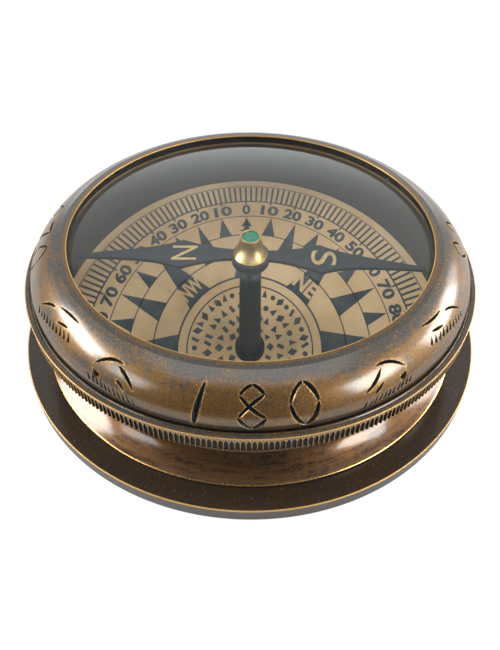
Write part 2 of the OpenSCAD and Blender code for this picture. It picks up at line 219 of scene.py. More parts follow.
def turned(name, corners, steps):
    """Spins a closed outline of corners about the Z axis into one closed, smooth piece."""
    outline = eased(corners)
    leave_edit_and_deselect()
    start = outline[0]
    bpy.ops.mesh.primitive_circle_add(vertices=3, radius=MM, location=(start[0], 0, start[1]))
    piece = named(name)
    bpy.ops.object.transform_apply()
    bpy.ops.object.mode_set(mode="EDIT")
    bpy.ops.mesh.merge(type="CENTER")
    for before, after in zip(outline, outline[1:] + outline[:1]):
        move = (after[0] - before[0], 0, after[1] - before[1])
        bpy.ops.mesh.extrude_vertices_move(TRANSFORM_OT_translate={"value": move})
    bpy.ops.mesh.select_all(action="SELECT")
    bpy.ops.mesh.remove_doubles(threshold=1e-7)
    spin_round(steps, 2e-7)
    face_outwards()
    smooth()
    nearest = nearest_corners(piece, outline)
    store(piece, "wear", [outline[i][2] for i in nearest])
    store(piece, "soot_and_shade", [outline[i][3] for i in nearest])
    return piece


def nearest_corners(piece, outline):
    """The outline's nearest point to each vertex."""
    tree = kdtree.KDTree(len(outline))
    for i, (r, z, *_) in enumerate(outline):
        tree.insert((r, 0, z), i)
    tree.balance()
    return [tree.find((math.hypot(v.co.x, v.co.y), 0, v.co.z))[1] for v in piece.data.vertices]


# Shader arithmetic


class Wire:
    """An output socket of a node tree. Sums on wires add Math nodes to the tree."""

    def __init__(self, tree, socket=None):
        self.tree = tree
        self.socket = socket

    def node(self, kind, settings=None, sockets=None, output=0):
        """Adds a node: first its settings, then values or wires for its sockets."""
        made = self.tree.nodes.new("ShaderNode" + kind)
        for key, value in (settings or {}).items():
            setattr(made, key, value)
        for key, value in (sockets or {}).items():
            if isinstance(value, Wire):
                self.tree.links.new(value.socket, made.inputs[key])
            else:
                made.inputs[key].default_value = value
        return Wire(self.tree, made.outputs[output] if made.outputs else None)

    def maths(self, operation, *others):
        """A Math node of this wire and others."""
        return self.node("Math", {"operation": operation}, dict(enumerate((self, *others))))

    def maths_after(self, operation, first):
        """A Math node whose first value is another one."""
        return self.node("Math", {"operation": operation}, {0: first, 1: self})

    def __add__(self, other):
        return self.maths("ADD", other)

    def __sub__(self, other):
        return self.maths("SUBTRACT", other)

    def __rsub__(self, other):
        return self.maths_after("SUBTRACT", other)

    def __mul__(self, other):
        return self.maths("MULTIPLY", other)

    def __truediv__(self, other):
        return self.maths("DIVIDE", other)

    def __rtruediv__(self, other):
        return self.maths_after("DIVIDE", other)

    def __neg__(self):
        return self * -1

    __radd__ = __add__
    __rmul__ = __mul__

    def step(self, low, high):
        """0 at low and beyond, 1 at high and beyond, and smooth between."""
        if high < low:
            return 1 - self.step(high, low)
        sockets = {"Value": self, "From Min": low, "From Max": high}
        return self.node("MapRange", {"interpolation_type": "SMOOTHSTEP"}, sockets)

    def parts(self):
        """The three parts of a vector."""
        apart = self.node("SeparateXYZ", {}, {0: self})
        return [Wire(self.tree, output) for output in apart.socket.node.outputs]

    def ray(self, kind):
        """1 where the surface is met by this kind of ray."""
        return self.node("LightPath", {}, {}, "Is %s Ray" % kind)

    def show(self, kind="Material"):
        """Links this shader to the output of its material or world."""
        self.node("Output" + kind, {}, {"Surface": self})

    def clamp(self):
        return self.node("Clamp", {}, {"Value": self})

    def mix(self, low, high):
        """The colour low where this wire is 0, and high where it is 1."""
        first, second = ((*colour, 1) if isinstance(colour, tuple) else colour for colour in (low, high))
        return self.node("Mix", {"data_type": "RGBA"}, {0: self, 6: first, 7: second}, 2)

    def tint(self, colour):
        """A colour multiplied by this wire's number or colour."""
        return self.node("VectorMath", {"operation": "MULTIPLY"}, {0: self, 1: colour})

    def noise(self, scale, detail=3, roughness=0.5, distortion=0.0):
        """Noise at this wire's place, in cells a millimetre, spread over about 0 to 1."""
        noise = self.node("TexNoise", {}, {
            "Vector": self, "Scale": scale, "Detail": detail, "Roughness": roughness,
            "Distortion": distortion})
        return (noise - 0.5) * 1.6 + 0.5


def painted(name):
    """A new empty material. Returns it with its tree's first wire."""
    material = bpy.data.materials.new(name)
    material.use_nodes = True
    material.node_tree.nodes.clear()
    return material, Wire(material.node_tree)


def finish_surface(wires, sockets, bump=None):
    """Adds the main shader with these sockets, a bump of height in millimetres, and the output."""
    values = dict(sockets)
    if bump:
        height, strength, depth = bump
        values["Normal"] = wires.node("Bump", {}, {"Height": height, "Strength": strength, "Distance": depth})
    wires.node("BsdfPrincipled", {}, values).show()


def patterned(name):
    """A new material, its first wire, and the place in millimetres with its parts and its radius."""
    material, wires = painted(name)
    metres = wires.node("TexCoord", {}, {}, "Object")
    place = metres.node("VectorMath", {"operation": "SCALE"}, {0: metres, "Scale": 1 / MM})
    x, y, z = place.parts()
    radius = (x * x + y * y).maths("SQRT")
    return material, wires, place, x, y, z, radius


def turned_grain(x, y, z, radius, around, across):
    """A place that stretches a pattern round the turned piece: cells a turn, and cells a millimetre."""
    shrink = around / (radius + 0.01)
    return x.node("CombineXYZ", {}, {0: x * shrink, 1: y * shrink, 2: (z + radius) * across})


def attribute(wires, name):
    return wires.node("Attribute", {"attribute_name": name}, {}, "Fac")


GOLD = (0.76, 0.45, 0.15)
# Near black of soot, pits and painted shade
SOOT_SHADE_BLACK = (0.007, 0.008, 0.009)


# The bezel's patina, by radius and height in millimetres: bare brass on the lip's flat, slate from there
# to the crown's turn, and slate again low on its side. These two slate bands are partly patina and partly
# a painted reflection of the grey studio
LIP_FADE = (39.9, 40.6)
CROWN_SHEEN_FADE = (44.4, 42.4)
SIDE_SHEEN_FADE = (24.4, 22.6)


def aged_brass(name, gold, slate, slate_share, rough, streak, lacquer, lacquer_rough, metal, bezel=False):
    """Old brass: brown-gold and slate patina in patches, turned streaks, orange flecks, pits, lacquer."""
    material, wires, place, x, y, z, radius = patterned(name)
    patches = place.noise(0.14, 5, 0.6) * 0.6 + place.noise(0.7, 4, 0.6) * 0.4
    streaks = turned_grain(x, y, z, radius, 5, 4.0).noise(1, 5, 0.7)
    speckle = place.noise(2.4, 3, 0.75)
    fine = place.noise(6.5, 2, 0.65)
    spread = patches + (speckle - 0.5) * 0.5 + (streaks - 0.5) * streak
    if bezel:
        past_lip = radius.step(*LIP_FADE)
        # Painted reflection with patina: more slate in a band at the crown's turn and low on the side
        spread = spread - radius.step(*CROWN_SHEEN_FADE) * past_lip * 0.24
        spread = spread + (1 - past_lip) * 0.25 - z.step(*SIDE_SHEEN_FADE) * 0.2
    slaty = spread.step(slate_share - 0.2, slate_share + 0.2)
    colour = slaty.mix(slate, gold)
    shade = streaks * streak + fine * 1.1 + speckle * (1.2 - streak) - 0.15
    colour = shade.maths("MAXIMUM", 0.12).tint(colour)
    flecks = place.noise(3.2, 2, 0.6, 0.6).step(0.74, 0.9) * place.noise(0.4, 3).step(0.35, 0.65)
    colour = (flecks * 0.8).mix(colour, (0.62, 0.31, 0.10))
    pits = place.noise(3.9, 1, 0.5).step(0.86, 0.96)
    colour = pits.mix(colour, SOOT_SHADE_BLACK)
    worn = (attribute(wires, "wear") + (speckle - 0.5) * 0.5 + (fine - 0.5) * 0.35).step(0.25, 0.7)
    colour = worn.mix(colour, GOLD)
    # Dark share: soot in cuts, grooves and joints, and painted shade on the waist's low flare and the lip's
    # bore wall
    soot_shade_share = (attribute(wires, "soot_and_shade") + (speckle - 0.5) * 0.2).step(0.12, 0.4)
    chipped = fine.step(0.6, 0.85) * 0.14 + speckle.step(0.82, 0.9) * 0.7
    colour = soot_shade_share.mix(colour, chipped.mix(SOOT_SHADE_BLACK, (0.17, 0.14, 0.10)))
    finish_surface(wires, {
        "Base Color": colour,
        "Metallic": (metal + worn * 0.15) * (1 - soot_shade_share * 0.6),
        "Roughness": (rough + (speckle - 0.5) * 0.16 - worn * 0.06 + soot_shade_share * 0.1).clamp(),
        "Coat Weight": (1 - soot_shade_share * 0.9) * (1 - worn * 0.8) * lacquer,
        "Coat Roughness": lacquer_rough,
        "Coat IOR": 1.8,
    }, (speckle * 0.45 + fine * 0.55 + streaks * streak - pits, 0.45, 0.02 * MM))
    return material


def bright_brass(name):
    """Polished, lacquered brass with fine turned lines."""
    material, wires, place, x, y, z, radius = patterned(name)
    lines = turned_grain(x, y, z, radius, 1.5, 6).noise(1, 3, 0.7)
    dull = place.noise(0.9, 4, 0.6)
    colour = (lines * 0.5 + dull * 0.5).step(0.2, 0.8).mix((0.72, 0.47, 0.17), (0.92, 0.68, 0.32))
    finish_surface(wires, {
        "Base Color": colour,
        "Metallic": 1.0,
        "Roughness": 0.25 + lines * 0.12 + dull * 0.06,
        "Coat Weight": 0.15,
    }, (lines, 0.15, 0.01 * MM))
    return material


def black_paint(name, colour=(0.017, 0.023, 0.026), rough=0.38):
    """Satin black paint with dust and a little grain."""
    material, wires, place, *_ = patterned(name)
    grain = place.noise(3.0, 3, 0.6)
    dust = place.noise(5.0, 2, 0.5).step(0.82, 0.95) * place.noise(0.3, 3).step(0.35, 0.7)
    tone = (0.8 + grain * 0.4).tint(colour)
    finish_surface(wires, {
        "Base Color": (dust * 0.5).mix(tone, (0.25, 0.26, 0.26)),
        "Roughness": rough + grain * 0.12,
        "Specular IOR Level": 0.5,
    }, (grain, 0.2, 0.02 * MM))
    return material


def needle_steel(name):
    """Blued steel gone slate-black, with a fine draw along the blade and tiny light specks."""
    material, wires, place, x, y, z, radius = patterned(name)
    draw = x.node("CombineXYZ", {}, {0: x * 0.25, 1: y * 3, 2: z * 3}).noise(1, 3, 0.6)
    cloud = place.noise(0.35, 4, 0.6)
    specks = place.noise(5.5, 1, 0.5).step(0.9, 0.99)
    tone = (cloud * 0.6 + draw * 0.4).step(0.1, 0.9).mix((0.028, 0.032, 0.038), (0.046, 0.053, 0.062))
    finish_surface(wires, {
        "Base Color": (specks * 0.7).mix(tone, (0.42, 0.45, 0.47)),
        "Metallic": 0.25,
        "Roughness": 0.36 + draw * 0.12 + cloud * 0.08,
    }, (draw, 0.12, 0.01 * MM))
    return material


def plain_steel(name, colour=(0.52, 0.53, 0.55)):
    """Turned bright steel."""
    material, wires, place, x, y, z, radius = patterned(name)
    lines = turned_grain(x, y, z, radius, 1.5, 5).noise(1, 3, 0.6)
    finish_surface(wires, {
        "Base Color": (0.8 + lines * 0.4).tint(colour),
        "Metallic": 1.0,
        "Roughness": 0.24 + lines * 0.15,
    }, (lines, 0.15, 0.01 * MM))
    return material


def aged_paper(name):
    """Tan card, foxed and handled, lighter near its edge, and with painted light that makes it lighter to the
    right.
    """
    material, wires, place, x, y, z, radius = patterned(name)
    stains = place.noise(0.07, 5, 0.6, 0.4)
    fibre = place.noise(2.2, 4, 0.7)
    foxing = place.noise(0.55, 3, 0.6).step(0.72, 0.9)
    colour = stains.step(0.2, 0.8).mix((0.575, 0.37, 0.18), (0.77, 0.54, 0.30))
    colour = (foxing * 0.25).mix(colour, (0.34, 0.19, 0.08))
    colour = (0.9 + fibre * 0.2).tint(colour)
    # Painted light: the card is made lighter towards the right, for the light on that side
    colour = (x.step(-10, 34) * 0.4).mix(colour, (0.88, 0.62, 0.34))
    edge = radius.step(39.0, 41.6)
    colour = (edge * 0.35).mix(colour, (0.74, 0.54, 0.32))
    finish_surface(wires, {"Base Color": colour, "Roughness": 0.62 + fibre * 0.2},
                   (fibre, 0.2, 0.02 * MM))
    return material


def faded_ink(name):
    """Blue-black printing ink, thin in places so that the card shows through."""
    material, wires, place, x, y, z, radius = patterned(name)
    thin = place.noise(0.25, 4, 0.6) * 0.6 + place.noise(3.2, 3, 0.6) * 0.4
    colour = thin.step(0.35, 0.95).mix((0.042, 0.060, 0.068), (0.135, 0.145, 0.135))
    finish_surface(wires, {"Base Color": colour, "Roughness": 0.5 + thin * 0.2}, (thin, 0.1, 0.01 * MM))
    return material


def gilt_paint(name):
    """Flat gilt paint of the letters, a little uneven."""
    material, wires, place, *_ = patterned(name)
    brush = place.noise(1.6, 4, 0.6)
    colour = brush.step(0.2, 0.8).mix((0.46, 0.32, 0.13), (0.62, 0.46, 0.22))
    finish_surface(wires, {"Base Color": colour, "Metallic": 0.25, "Roughness": 0.42 + brush * 0.15},
                   (brush, 0.2, 0.02 * MM))
    return material


def green_stone(name):
    """Polished green bearing stone with cloudy veins."""
    material, wires, place, x, y, z, radius = patterned(name)
    cloud = place.noise(0.8, 4, 0.6, 0.8)
    colour = cloud.step(0.2, 0.8).mix((0.002, 0.115, 0.062), (0.010, 0.24, 0.14))
    colour = (radius.step(0.9, 0.2) * 0.45).mix(colour, (0.10, 0.14, 0.13))
    finish_surface(wires, {
        "Base Color": colour, "Roughness": 0.3 + cloud * 0.1, "Coat Weight": 0.2, "Coat Roughness": 0.15,
    }, (cloud, 0.05, 0.01 * MM))
    return material


def soft_rubber(name):
    material, wires, place, *_ = patterned(name)
    grain = place.noise(4, 3, 0.6)
    finish_surface(wires, {
        "Base Color": grain.step(0.1, 0.9).mix((0.014, 0.014, 0.015), (0.035, 0.035, 0.036)),
        "Roughness": 0.6 + grain * 0.15,
    }, (grain, 0.3, 0.03 * MM))
    return material


def green_felt(name):
    """Dark green felt: matted fibres in two directions."""
    material, wires, place, x, y, z, radius = patterned(name)
    along = x.node("CombineXYZ", {}, {0: x * 0.8, 1: y * 5, 2: z}).noise(1, 4, 0.7, 1.5)
    across = x.node("CombineXYZ", {}, {0: x * 5, 1: y * 0.8, 2: z}).noise(1, 4, 0.7, 1.5)
    fibre = along.maths("MAXIMUM", across)
    colour = fibre.step(0.3, 1.0).mix((0.010, 0.035, 0.020), (0.045, 0.11, 0.065))
    finish_surface(wires, {
        "Base Color": colour, "Roughness": 0.95, "Sheen Weight": 0.4, "Sheen Roughness": 0.5,
    }, (fibre, 0.8, 0.15 * MM))
    return material


def clear_glass(name):
    """Optical glass with the faintest wiping marks. Lamps shine through it."""
    material, wires, place, *_ = patterned(name)
    wiping = place.noise(0.09, 4, 0.6, 0.5)
    glass = wires.node("BsdfPrincipled", {}, {
        "Base Color": wiping.step(0.0, 1.0).mix((0.965, 0.985, 0.98), (0.985, 0.995, 0.99)),
        "Roughness": wiping.step(0.5, 1.2) * 0.02, "IOR": 1.52, "Transmission Weight": 1.0,
    })
    clear = wires.node("BsdfTransparent", {}, {"Color": (0.94, 0.95, 0.95, 1)})
    lit_through = wires.ray("Shadow").maths("MAXIMUM", wires.ray("Diffuse"))
    wires.node("MixShader", {}, {0: lit_through, 1: glass, 2: clear}).show()
    return material


BASE_BRASS = aged_brass(
    "base brass", gold=(0.060, 0.036, 0.019), slate=(0.036, 0.034, 0.033), slate_share=0.38,
    rough=0.45, streak=0.35, lacquer=0.75, lacquer_rough=0.16, metal=0.7)
WAIST_BRASS = aged_brass(
    "waist brass", gold=(0.120, 0.052, 0.012), slate=(0.036, 0.015, 0.006), slate_share=0.40,
    rough=0.33, streak=1.0, lacquer=0.7, lacquer_rough=0.13, metal=0.9)
BEZEL_BRASS = aged_brass(
    "bezel brass", gold=(0.190, 0.092, 0.018), slate=(0.078, 0.070, 0.058), slate_share=0.38,
    rough=0.44, streak=0.3, lacquer=0.95, lacquer_rough=0.18, metal=0.85, bezel=True)
INNER_BRASS = aged_brass(
    "inner brass", gold=(0.40, 0.27, 0.12), slate=(0.22, 0.18, 0.13), slate_share=0.30,
    rough=0.30, streak=0.4, lacquer=1.0, lacquer_rough=0.2, metal=0.75)
BRIGHT_BRASS = bright_brass("bright brass")
BLACK = black_paint("black paint")
# A lighter, bluer copy of the black paint for the post: painted light, for how the post looks lit
LIT_POST_BLACK = black_paint("post paint lit copy", (0.042, 0.058, 0.066), 0.42)
STEEL_BLADE = needle_steel("blued steel")
STEEL = plain_steel("bright steel")
PLATE = plain_steel("dial plate", (0.50, 0.46, 0.38))
PAPER = aged_paper("aged card")
INK = faded_ink("faded ink")
GILT = gilt_paint("gilt paint")
STONE = green_stone("green stone")
RUBBER = soft_rubber("soft rubber")
FELT = green_felt("green felt")
GLASS = clear_glass("clear glass")


def settle(piece, body, slot, material, *nodes):
    """Gives a finished piece its material and its body, and hides the nodes that it stands for. The slot
    argument is not used.
    """
    piece.data.materials.clear()
    piece.data.materials.append(material)
    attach(piece, body)
    if nodes:
        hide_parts(*nodes)
    return piece


# The case: base, drum and black wall

TURN_STEPS = 480


def make_base():
    """Flanged base disc: a dished top, a rounded rim with bright edges and a recess for the pad."""
    outline = [
        corner(0, PAD_Z), corner(PAD_R, PAD_Z), corner(PAD_R, 0),
        corner(BASE_R, 0, 0.4 * MM, 0.25),
        corner(BASE_R, BASE_RIM_Z, 0.17 * MM, 1.0),
        corner(BASE_R - 0.55 * MM, BASE_RIM_Z - 0.02 * MM),
        corner(FOOT_R + 0.12 * MM, BASE_TOP_Z),
        corner(FOOT_R + 0.02 * MM, BASE_TOP_Z, 0, 0, 1.0),
        corner(FOOT_R - 1.0 * MM, BASE_TOP_Z, 0, 0, 1.0),
        corner(0, BASE_TOP_Z)]
    return turned("base_disc", outline, TURN_STEPS)


FOOT_Z = BASE_TOP_Z + FOOT_UNDERCUT + FOOT_LAND
CURVE_STEPS = 40
FLARE_POWER = 1.6
RISE_POWER = 2
# The flare's lowest steps: bright at the first; from the third on a painted shade, which dims the reflections
# low on the flare and is clean again at the twelfth
FLARE_WEAR = 0.35
FLARE_SHADE = 0.24
SHADE_FROM = 3
SHADE_TO = 12


def waist_corners():
    """Corners of the hollow waist: a flare above the foot's edge, then a long curve to the shoulder."""
    waist_z = FOOT_Z + WAIST_RISE
    flare = []
    for i in range(1, CURVE_STEPS):
        t = i / CURVE_STEPS
        wear = FLARE_WEAR if i == 1 else 0
        soot_and_shade = FLARE_SHADE * max(1 - i / SHADE_TO, 0) if i >= SHADE_FROM else 0
        flare.append(corner(WAIST_R + (FOOT_R - WAIST_R) * (1 - t) ** FLARE_POWER, FOOT_Z + WAIST_RISE * t,
                            0, wear, soot_and_shade))
    rise = [corner(WAIST_R + (SHOULDER_R - WAIST_R) * (i / CURVE_STEPS) ** RISE_POWER,
                   waist_z + (SHOULDER_Z - waist_z) * i / CURVE_STEPS) for i in range(CURVE_STEPS)]
    return flare + rise


THREAD_PITCH = 1.0 * MM
THREAD_DEPTH = 0.3 * MM


def thread_corners(radius, low, high, depth):
    """Corners of a fine thread's grooves on a cylinder, from low to high."""
    corners = []
    count = int((high - low) / THREAD_PITCH)
    for i in range(count):
        z = low + (i + 0.5) * THREAD_PITCH
        corners += [corner(radius, z - 0.4 * THREAD_PITCH), corner(radius, z - 0.3 * THREAD_PITCH),
                    corner(radius - depth, z), corner(radius, z + 0.3 * THREAD_PITCH)]
    return corners


def make_drum():
    """Drum with a hollow waist, a bright foot, a shoulder and a threaded neck."""
    outline = [
        corner(BORE_R, BASE_TOP_Z),
        corner(FOOT_R - FOOT_UNDERCUT, BASE_TOP_Z, 0, 0, 1.0),
        corner(FOOT_R - FOOT_UNDERCUT, BASE_TOP_Z + 0.8 * FOOT_UNDERCUT, 0, 0, 1.0),
        corner(FOOT_R - 0.06 * MM, BASE_TOP_Z + FOOT_UNDERCUT, 0, 0, 1.0),
        corner(FOOT_R, BASE_TOP_Z + FOOT_UNDERCUT + 0.06 * MM),
        corner(FOOT_R, FOOT_Z - 0.1 * MM),
        corner(FOOT_R, FOOT_Z - 0.04 * MM, 0, 1.0),
        corner(FOOT_R - 0.04 * MM, FOOT_Z, 0, 0.85),
        *waist_corners(),
        corner(SHOULDER_R, SHOULDER_Z, 0.15 * MM, 0.5),
        corner(NECK_R, SHOULDER_Z),
        *thread_corners(NECK_R, SHOULDER_Z + 0.5 * MM, NECK_TOP_Z - NECK_CHAMFER, THREAD_DEPTH),
        corner(NECK_R, NECK_TOP_Z - NECK_CHAMFER),
        corner(NECK_R - NECK_CHAMFER, NECK_TOP_Z),
        corner(BORE_R, NECK_TOP_Z)]
    return turned("drum", outline, TURN_STEPS)


def make_liner():
    outline = [corner(LINER_R, DIAL_Z), corner(BORE_R, DIAL_Z), corner(BORE_R, liner_high.z),
               corner(LINER_R, liner_high.z, 0.1 * MM)]
    return turned("black_wall", outline, TURN_STEPS)


def make_post():
    """Straight post, tapered at the top."""
    foot_r = post_high.x
    outline = [corner(0, post_low.z), corner(foot_r, post_low.z, 0.1 * MM),
               corner(foot_r, post_high.z - 1.5 * MM, 0.3 * MM),
               corner(foot_r * 0.5, post_high.z, 0.1 * MM), corner(0, post_high.z)]
    return turned("centre_post", outline, 96)


settle(make_base(), "case", "brass_aged", BASE_BRASS, "base_plate")
settle(make_drum(), "case", "brass_aged", WAIST_BRASS, "body_drum")
settle(make_liner(), "case", "black_paint", BLACK, "wall_liner")
settle(make_post(), "case", "black_paint", LIT_POST_BLACK, "pivot_post")


# The lid: bezel with its cuts, knurled collar and glass

SIDE_CENTRE = (44.24 * MM, 22.5 * MM)
SIDE_CURVE = 4.12 * MM
CROWN_CENTRE = (37.56 * MM, 17.97 * MM)
CROWN_CURVE = 12.2 * MM
LIP_FLAT = 0.6 * MM
LIP_BACK_R = 41.0 * MM
BEZEL_STEPS = 720

foot_angle = -math.degrees(math.acos((BEZEL_FOOT_R - SIDE_CENTRE[0]) / SIDE_CURVE))
blend_angle = math.degrees(math.atan2(SIDE_CENTRE[1] - CROWN_CENTRE[1], SIDE_CENTRE[0] - CROWN_CENTRE[0]))
crown_angle = math.degrees(math.acos((LIP_BACK_R - CROWN_CENTRE[0]) / CROWN_CURVE))
SIDE_LENGTH = math.radians(blend_angle - foot_angle) * SIDE_CURVE


def make_bezel():
    """Domed bezel: a bright lip edge, a small flat, a crown arc and a side arc."""
    crown = arc(*CROWN_CENTRE, CROWN_CURVE, crown_angle, blend_angle, 26)
    side = arc(*SIDE_CENTRE, SIDE_CURVE, blend_angle, foot_angle + 6, 14)[1:]
    outline = [
        # The first two corners blacken the lip's bore wall: painted shade inside the lip, and soot
        corner(APERTURE_R, LIP_UNDER_Z, 0, 0, 1.0),
        corner(APERTURE_R, LIP_Z - 0.34 * MM, 0, 0, 1.0),
        corner(APERTURE_R, LIP_Z, 0.17 * MM, 1.0),
        corner(APERTURE_R + LIP_FLAT, LIP_Z, 0.3 * MM, 0.1),
        corner(crown[1][0], crown[1][1] + 0.02 * MM, 0.3 * MM),
        *crown[3:], *side,
        corner(BEZEL_FOOT_R + 0.02 * MM, SHELF_Z + 0.32 * MM, 0.06 * MM, 0.4),
        corner(BEZEL_FOOT_R, SHELF_Z + 0.2 * MM, 0, 0, 1.0),
        corner(BEZEL_FOOT_R, SHELF_Z, 0, 0, 1.0),
        corner(BEZEL_BORE_R, SHELF_Z), corner(BEZEL_BORE_R, retainer_low.z),
        corner(RETAINER_SEAT_R, retainer_low.z), corner(RETAINER_SEAT_R, retainer_high.z),
        corner(LENS_SEAT_R, retainer_high.z), corner(LENS_SEAT_R, LIP_UNDER_Z)]
    return turned("domed_bezel", outline, BEZEL_STEPS)


def on_bezel(turn, up):
    """The point at a turn in degrees from the front, up millimetres above the foot, and its normal."""
    along = up * MM
    if along < SIDE_LENGTH:
        angle = math.radians(foot_angle) + along / SIDE_CURVE
        centre, radius = SIDE_CENTRE, SIDE_CURVE
    else:
        angle = math.radians(blend_angle) + (along - SIDE_LENGTH) / CROWN_CURVE
        centre, radius = CROWN_CENTRE, CROWN_CURVE
    r = centre[0] + radius * math.cos(angle)
    z = centre[1] + radius * math.sin(angle)
    facing = math.radians(turn)
    out = Vector((math.sin(facing), -math.cos(facing), 0))
    normal = out * math.cos(angle) + Vector((0, 0, math.sin(angle)))
    return out * r + Vector((0, 0, z)), normal


STATIONS = 13


class Stroke:
    """A chisel cut: a curve through three places, broadest near its middle, or near its start if a wedge."""

    def __init__(self, start, middle, end, width, power=0.7, gilt=0.85, wedge=False):
        self.ends = start, middle, end
        self.width = width
        self.depth = 0.28 + 0.35 * width
        self.power = power
        self.gilt = gilt
        self.wedge = wedge

    def station(self, t):
        start, middle, end = self.ends
        turn, up = (2 * (t - 0.5) * (t - 1) * a + 4 * t * (1 - t) * b + 2 * t * (t - 0.5) * c
                    for a, b, c in zip(start, middle, end))
        fullness = min(1, 10 * t) * (1 - t) if self.wedge else max(math.sin(math.pi * t), 0) ** self.power
        return turn, up, fullness


def straight(start, end, width, bow=0.0, **shape):
    """A stroke between two places, bowed sideways by a share of its length."""
    middle = ((start[0] + end[0]) / 2 + bow * (end[1] - start[1]),
              (start[1] + end[1]) / 2 - bow * (end[0] - start[0]))
    return Stroke(start, middle, end, width, **shape)


# The cuts of each numeral: across and up at both ends, in shares of its size, then width and bow
DIGITS = {
    "0": [(0.1, 1.0, -0.95, 0.55, 0.5, 0.12), (0.1, 1.0, 1.0, 0.52, 0.62, -0.12),
          (-0.95, 0.56, 0, 0.0, 0.55, 0.12), (1.0, 0.53, 0, 0.0, 0.65, -0.12)],
    "1": [(0.25, 1.0, -0.25, -0.06, 0.95, 0.03)],
    "2": [(-0.95, 0.72, -0.2, 1.0, 0.42, 0.05), (-0.2, 1.0, 0.9, 0.72, 0.5, -0.08),
          (0.9, 0.74, -0.9, 0.02, 0.55, 0.05), (-0.95, 0.02, 1, 0.05, 0.5, 0.05)],
    "7": [(-1, 0.93, 0.95, 1.0, 0.55, 0.05), (0.95, 1.0, -0.3, 0, 0.7, 0.05)],
    "8": [(-0.85, 0.77, 0.05, 1.0, 0.45, -0.08), (0.05, 1.0, 0.9, 0.78, 0.55, -0.08),
          (0.9, 0.78, -0.9, 0.28, 0.5, 0.05), (-0.85, 0.77, 0.95, 0.27, 0.55, 0.05),
          (-0.9, 0.28, 0, 0.0, 0.5, 0.08), (0.95, 0.27, 0, 0.0, 0.55, -0.08)],
    "9": [(0.1, 1.0, -0.9, 0.72, 0.42, 0.08), (0.1, 1.0, 0.9, 0.7, 0.6, -0.08),
          (-0.9, 0.72, 0.2, 0.42, 0.5, 0.05), (0.9, 0.72, 0.1, 0.1, 0.6, -0.06),
          (0.2, 0.1, -0.9, 0.0, 0.4, 0.05)]}
LONE_CUT_POWER = 0.7
CUT_POWER = 0.35


def digit_strokes(digit, turn, low, height, half_width):
    """The cuts of a plain numeral, in degrees round the bezel and millimetres up it."""
    power = LONE_CUT_POWER if len(DIGITS[digit]) == 1 else CUT_POWER
    return [straight((turn + x0 * half_width, low + y0 * height), (turn + x1 * half_width, low + y1 * height),
                     width, bow, power=power) for x0, y0, x1, y1, width, bow in DIGITS[digit]]


def number_strokes(number, turn, low=1.2, height=8.0, spacing=11.0, half_width=3.1):
    first = turn - spacing * (len(number) - 1) / 2
    strokes = []
    for place, digit in enumerate(number):
        strokes += digit_strokes(digit, first + place * spacing, low, height, half_width)
    return strokes


def tick_row(first_turn, last_turn, low, high, count, length, lean, width, rng):
    """A row of short cuts side by side, which follows a line up the bezel."""
    row = []
    for i in range(count):
        share = i / (count - 1)
        turn = first_turn + (last_turn - first_turn) * share
        up = low + (high - low) * share
        reach = length * rng.uniform(0.8, 1.15)
        row.append(straight((turn, up), (turn + lean * rng.uniform(0.8, 1.2), up + reach),
                            width * rng.uniform(1.1, 1.6), 0.04, gilt=0.5, wedge=True))
    return row


def hatch_groups(turn, side, rng):
    """Hatched ornament on one quarter: two tick rows, slits, arcs and a wedge."""
    def at(across, up):
        return turn + side * across, up
    strokes = tick_row(turn + side * 24.5, turn + side * 36.5, 1.3, 2.2, 11, 1.5, side * 0.9, 0.34, rng)
    strokes += tick_row(turn + side * 46, turn + side * 60.5, 5.4, 3.7, 10, 1.3, side * 1.3, 0.42, rng)
    strokes += [
        straight(at(25.2, 4.3), at(30.4, 7.4), 0.5, 0.06),
        straight(at(27.3, 3.6), at(29.8, 4.9), 0.42, 0.05),
        Stroke(at(29.4, 8.0), at(33.2, 7.7), at(36.6, 5.6), 0.42),
        straight(at(34.6, 3.6), at(36.4, 4.7), 1.3, wedge=True),
        straight(at(46.4, 9.5), at(55, 8.8), 0.32, 0.03),
        straight(at(48.3, 7.4), at(52.6, 6.6), 0.36, 0.02),
        Stroke(at(56.2, 7.9), at(58.8, 7.2), at(61.6, 5.3), 0.36)]
    return strokes


def all_strokes():
    rng = random.Random(41)
    strokes = number_strokes("180", 0.5) + number_strokes("0", 180)
    strokes += number_strokes("90", 88, spacing=9.5) + number_strokes("270", -90, spacing=9.5)
    for turn in (0, 180):
        for side in (-1, 1):
            strokes += hatch_groups(turn, side, rng)
    return strokes


EDGE_PROUD = 0.2 * MM
EDGE_DEPTH = 0.05 * MM
CUT_SPREAD = 1.35


def cutter_rings(stroke, rng):
    """Rings of points that sweep the stroke's stepped V, in metres."""
    rings = []
    for i in range(STATIONS):
        t = i / (STATIONS - 1)
        turn, up, fullness = stroke.station(t)
        ahead = on_bezel(*stroke.station(min(t + 0.01, 1))[:2])[0]
        behind = on_bezel(*stroke.station(max(t - 0.01, 0))[:2])[0]
        point, normal = on_bezel(turn, up)
        side = normal.cross((ahead - behind).normalized())
        half = (0.03 + CUT_SPREAD * stroke.width / 2 * fullness * rng.uniform(0.82, 1.12)) * MM
        depth = (0.06 + stroke.depth * fullness) * MM
        ridge = rng.uniform(-0.25, 0.25) * half
        lip = min(0.07 * MM, half)
        wide = half + lip * (1 + EDGE_PROUD / EDGE_DEPTH)
        inner = 0.9 * half
        section = [(-wide, EDGE_PROUD), (-half, -EDGE_DEPTH), (-inner, -1.8 * EDGE_DEPTH), (ridge, -depth),
                   (inner, -1.8 * EDGE_DEPTH), (half, -EDGE_DEPTH), (wide, EDGE_PROUD)]
        rings.append([point + side * across + normal * out for across, out in section])
    return rings


